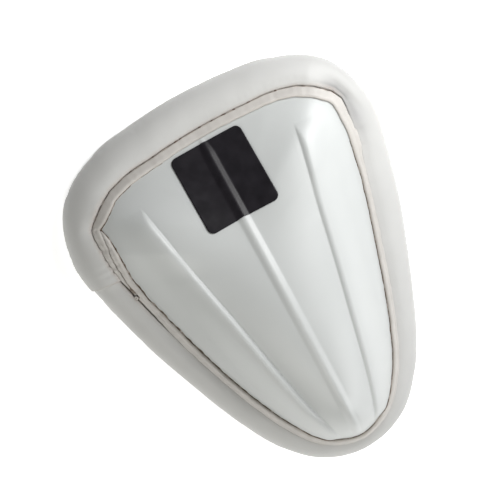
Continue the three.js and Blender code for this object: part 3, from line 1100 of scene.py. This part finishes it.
def thread_points(place, length, swing, thickness):
    """One stitch: a short bowed length of thread that lies across the groove."""
    along = np.linspace(-0.5, 0.5, STITCH_STEPS)
    seam_here = from_edge(SEAM, np.full(STITCH_STEPS, place)) - round_rim(SEAM, place, 2) / 2
    lift = STITCH_LIFT - STITCH_BOW * along ** 2
    middle = on_shell(place + along * length / RIM_PER_PLACE, seam_here + swing * along, lift)
    ahead = np.gradient(middle, axis=0)
    ahead /= np.linalg.norm(ahead, axis=-1, keepdims=True)
    side = np.cross(ahead, np.array([0.0, 0.0, 1.0]))
    over = np.cross(side, ahead)
    turn = np.arange(STITCH_SIDES) * 2 * np.pi / STITCH_SIDES
    radius = thickness / 2 * np.sqrt(np.clip(1 - (STITCH_TAPER * along) ** 2, STITCH_END, 1))
    ring = np.cos(turn)[None, :, None] * side[:, None] + np.sin(turn)[None, :, None] * over[:, None]
    return (middle[:, None] + radius[:, None, None] * ring).reshape(-1, 3)


chance = np.random.default_rng(seed=7)
stitch_points = [
    thread_points(place, length, chance.uniform(*STITCH_SWING), thickness)
    for place, length, thickness in STITCHES
]
stitch_size = STITCH_STEPS * STITCH_SIDES
stitch_faces = [
    grid_faces(STITCH_STEPS, STITCH_SIDES, first=number * stitch_size, round_columns=True)
    for number in range(len(STITCHES))
]
stitches = make_piece("seam_stitches", np.concatenate(stitch_points), np.concatenate(stitch_faces))


def knot_points():
    """The knot that ends the seam: one small loop of cream thread, flat on the wall."""
    small_step, small_turn = 0.01, 0.001
    beside = np.array([0.0, small_step, 0.0])
    ahead = np.array([0.0, 0.0, small_turn])
    distance = from_edge(SEAM, KNOT_PLACE + ahead) + KNOT_FROM_SEAM + beside
    middle, side, front = on_shell(KNOT_PLACE + ahead, distance, np.full(3, KNOT_LIFT))
    side = (side - middle) / np.linalg.norm(side - middle)
    over = np.cross(side, front - middle)
    over /= np.linalg.norm(over)
    front = np.cross(over, side)
    turn = (np.arange(KNOT_STEPS) * 2 * np.pi / KNOT_STEPS)[:, None, None]
    twist = (np.arange(STITCH_SIDES) * 2 * np.pi / STITCH_SIDES)[None, :, None]
    outward = np.cos(turn) * side + np.sin(turn) * front
    reach = KNOT_RADIUS + KNOT_THREAD / 2 * np.cos(twist)
    return middle + outward * reach + over * KNOT_THREAD / 2 * np.sin(twist)


knot = make_piece(
    "seam_knot",
    knot_points(),
    grid_faces(KNOT_STEPS, STITCH_SIDES, round_rows=True, round_columns=True),
)
mark(knot, "stain", np.full(KNOT_STEPS * STITCH_SIDES, KNOT_STAIN))


def seam_glue():
    """Brown glue, thick and dark in places and thin over the vinyl in others."""
    finish, tree, shader = new_finish("brown_glue")
    place = add_node(tree, "ShaderNodeTexCoord").outputs["Object"]
    blotch = noise(tree, place, scale=420, detail=5, roughness=0.6)
    patchy = spread(tree, blotch, low=0.0, high=1.2, start=0.36, end=0.64)
    cover = times(tree, marked(tree, "darkness"), patchy)
    tree.links.new(mix_colours(tree, cover, GLUE_PALE, GLUE_BROWN), shader.inputs["Base Color"])
    raise_grain(tree, shader, blotch, strength=0.4, distance=0.0002)
    shader.inputs["Roughness"].default_value = 0.6
    shader.inputs["Specular IOR Level"].default_value = 0.25
    return finish


def seam_thread():
    """Brown thread, twisted and a little uneven in colour."""
    finish, tree, shader = new_finish("brown_thread")
    place = add_node(tree, "ShaderNodeTexCoord").outputs["Object"]
    twist = noise(tree, place, scale=1500, detail=3)
    tree.links.new(clouded(tree, twist, THREAD_BROWN, THREAD_LIGHT), shader.inputs["Base Color"])
    raise_grain(tree, shader, twist, strength=0.5, distance=0.0002)
    shader.inputs["Roughness"].default_value = 0.7
    shader.inputs["Specular IOR Level"].default_value = 0.25
    return finish


glue.data.materials.append(seam_glue())
stitches.data.materials.append(seam_thread())
knot.data.materials.append(seam_welt.data.materials[0])
for piece in (glue, stitches, knot):
    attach(piece, "root")

# Badge: a thin satin film, black all over and cut with rounded corners. It is stuck on the shell near the
# waist edge and follows the middle rib.
BADGE_WIDTH = 29.2
BADGE_ACROSS = 0.6
BADGE_LENGTH = 29.4
BADGE_MIDDLE = 41.4
BADGE_CORNER = 2.4
BADGE_CORNER_STEPS = 8
BADGE_THICKNESS = 0.3
BADGE_LIFT = 0.08
BADGE_COLUMNS = 80
BADGE_ROWS = 76
BADGE_BLACK = (0.009, 0.008, 0.010)
BADGE_SHADE = 1.6


def badge_points(lift):
    """The badge's grid laid on the ribbed shell, at one lift above it."""
    turn = np.linspace(0, math.pi / 2, BADGE_CORNER_STEPS)
    straight = BADGE_LENGTH / 2 - BADGE_CORNER
    corner = straight + BADGE_CORNER * np.cos(turn)
    middle = np.linspace(straight, -straight, BADGE_ROWS)[1:-1]
    rows = np.concatenate([corner, middle, -corner[::-1]])
    into = np.clip(np.abs(rows) - straight, 0, BADGE_CORNER)
    half = BADGE_WIDTH / 2 - BADGE_CORNER + np.sqrt(BADGE_CORNER ** 2 - into ** 2)
    x = BADGE_ACROSS + half[:, None] * np.linspace(-1, 1, BADGE_COLUMNS)
    y = np.broadcast_to(BADGE_MIDDLE + rows[:, None], x.shape)
    face, square = ribbed(x, y)
    return face + square * lift


badge_top = badge_points(BADGE_LIFT + BADGE_THICKNESS)
badge_bottom = badge_points(BADGE_LIFT)
rows, columns = badge_top.shape[:2]
badge = make_piece(
    "black_badge",
    np.concatenate([badge_top.reshape(-1, 3), badge_bottom.reshape(-1, 3)]),
    np.concatenate([
        grid_faces(rows, columns),
        grid_faces(rows, columns, first=rows * columns)[:, ::-1],
        edge_band(rows, columns),
    ]),
)


def badge_film():
    """Black satin film with a faint unevenness."""
    finish, tree, shader = new_finish("black_film")
    place = add_node(tree, "ShaderNodeTexCoord").outputs["Object"]
    cloud = noise(tree, place, scale=220, detail=4)
    tree.links.new(clouded(tree, cloud, BADGE_BLACK, BADGE_SHADE), shader.inputs["Base Color"])
    tree.links.new(spread(tree, cloud, low=0.32, high=0.40), shader.inputs["Roughness"])
    shader.inputs["Specular IOR Level"].default_value = 0.24
    return finish


badge.data.materials.append(badge_film())
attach(badge, "root")
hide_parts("badge")

# Floor, light and camera: a plain pale table that glows a little, so that it stays white round the guard.
# Two soft lamps stand on the right and a larger one on the left. The camera looks almost straight down.
# Sizes are in metres.
FLOOR_SIZE = 3.0
FLOOR_WHITE = (0.94, 0.94, 0.94)
FLOOR_GLOW = 0.5
CAMERA_TILT = math.radians(10.0)
CAMERA_LEAN = math.radians(1.4)
CAMERA_ROLL = math.radians(28.75)
CAMERA_DISTANCE = 1.1
FRAME_WIDTH = 0.1852
TARGET_HEIGHT = 0.015
TARGET_LEFT = 0.00941
TARGET_UP = 0.00974
FILL_STRENGTH = 0.08
BACK_TINT = (1, 0.99, 0.945)

floor_mesh = bpy.data.meshes.new("pale_floor")
half = FLOOR_SIZE / 2
floor_corners = [(-half, -half, 0), (half, -half, 0), (half, half, 0), (-half, half, 0)]
floor_mesh.from_pydata(floor_corners, [], [(0, 1, 2, 3)])
floor = bpy.data.objects.new("pale_floor", floor_mesh)
bpy.context.scene.collection.objects.link(floor)
floor_finish, _, floor_shader = new_finish("pale_floor")
floor_shader.inputs["Base Color"].default_value = (*FLOOR_WHITE, 1)
floor_shader.inputs["Roughness"].default_value = 0.9
floor_shader.inputs["Specular IOR Level"].default_value = 0.1
floor_shader.inputs["Emission Color"].default_value = (1, 1, 1, 1)
floor_shader.inputs["Emission Strength"].default_value = FLOOR_GLOW
floor_mesh.materials.append(floor_finish)


def soft_lamp(name, azimuth, elevation, distance, size, power, tint=(1, 1, 1)):
    """A square lamp that faces the middle of the floor."""
    data = bpy.data.lights.new(name, "AREA")
    data.energy = power
    data.color = tint
    data.size = size
    lamp = bpy.data.objects.new(name, data)
    bpy.context.scene.collection.objects.link(lamp)
    azimuth, elevation = math.radians(azimuth), math.radians(elevation)
    level = math.cos(elevation)
    way = Vector((level * math.cos(azimuth), level * math.sin(azimuth), math.sin(elevation)))
    lamp.location = way * distance
    lamp.rotation_euler = way.to_track_quat("Z", "Y").to_euler()


soft_lamp("key_lamp", azimuth=36, elevation=38, distance=0.24, size=0.13, power=0.54)
soft_lamp("side_lamp", azimuth=-42, elevation=30, distance=0.38, size=0.25, power=0.78)
soft_lamp("back_lamp", azimuth=212, elevation=40, distance=0.9, size=0.7, power=5.4, tint=BACK_TINT)

world = bpy.data.worlds.new("even_fill")
world.use_nodes = True
fill = world.node_tree.nodes["Background"]
fill.inputs["Color"].default_value = (1, 1, 1, 1)
fill.inputs["Strength"].default_value = FILL_STRENGTH
bpy.context.scene.world = world
bpy.context.scene.view_settings.view_transform = "Standard"

camera_data = bpy.data.cameras.new("camera")
camera_data.lens = camera_data.sensor_width * CAMERA_DISTANCE / FRAME_WIDTH
camera_data.clip_start = 0.01
camera = bpy.data.objects.new("camera", camera_data)
bpy.context.scene.collection.objects.link(camera)
back = Vector((
    -math.sin(CAMERA_LEAN),
    math.sin(CAMERA_TILT) * math.cos(CAMERA_LEAN),
    math.cos(CAMERA_TILT) * math.cos(CAMERA_LEAN),
))
upright = (Vector((0, 1, 0)) - back * back.y).normalized()
up = math.cos(CAMERA_ROLL) * upright + math.sin(CAMERA_ROLL) * upright.cross(back)
right = up.cross(back)
target = Vector((0, 0, TARGET_HEIGHT)) - TARGET_LEFT * right + TARGET_UP * up
turned = Matrix((right, up, back)).transposed().to_4x4()
camera.matrix_world = Matrix.Translation(target + back * CAMERA_DISTANCE) @ turned
bpy.context.scene.camera = camera
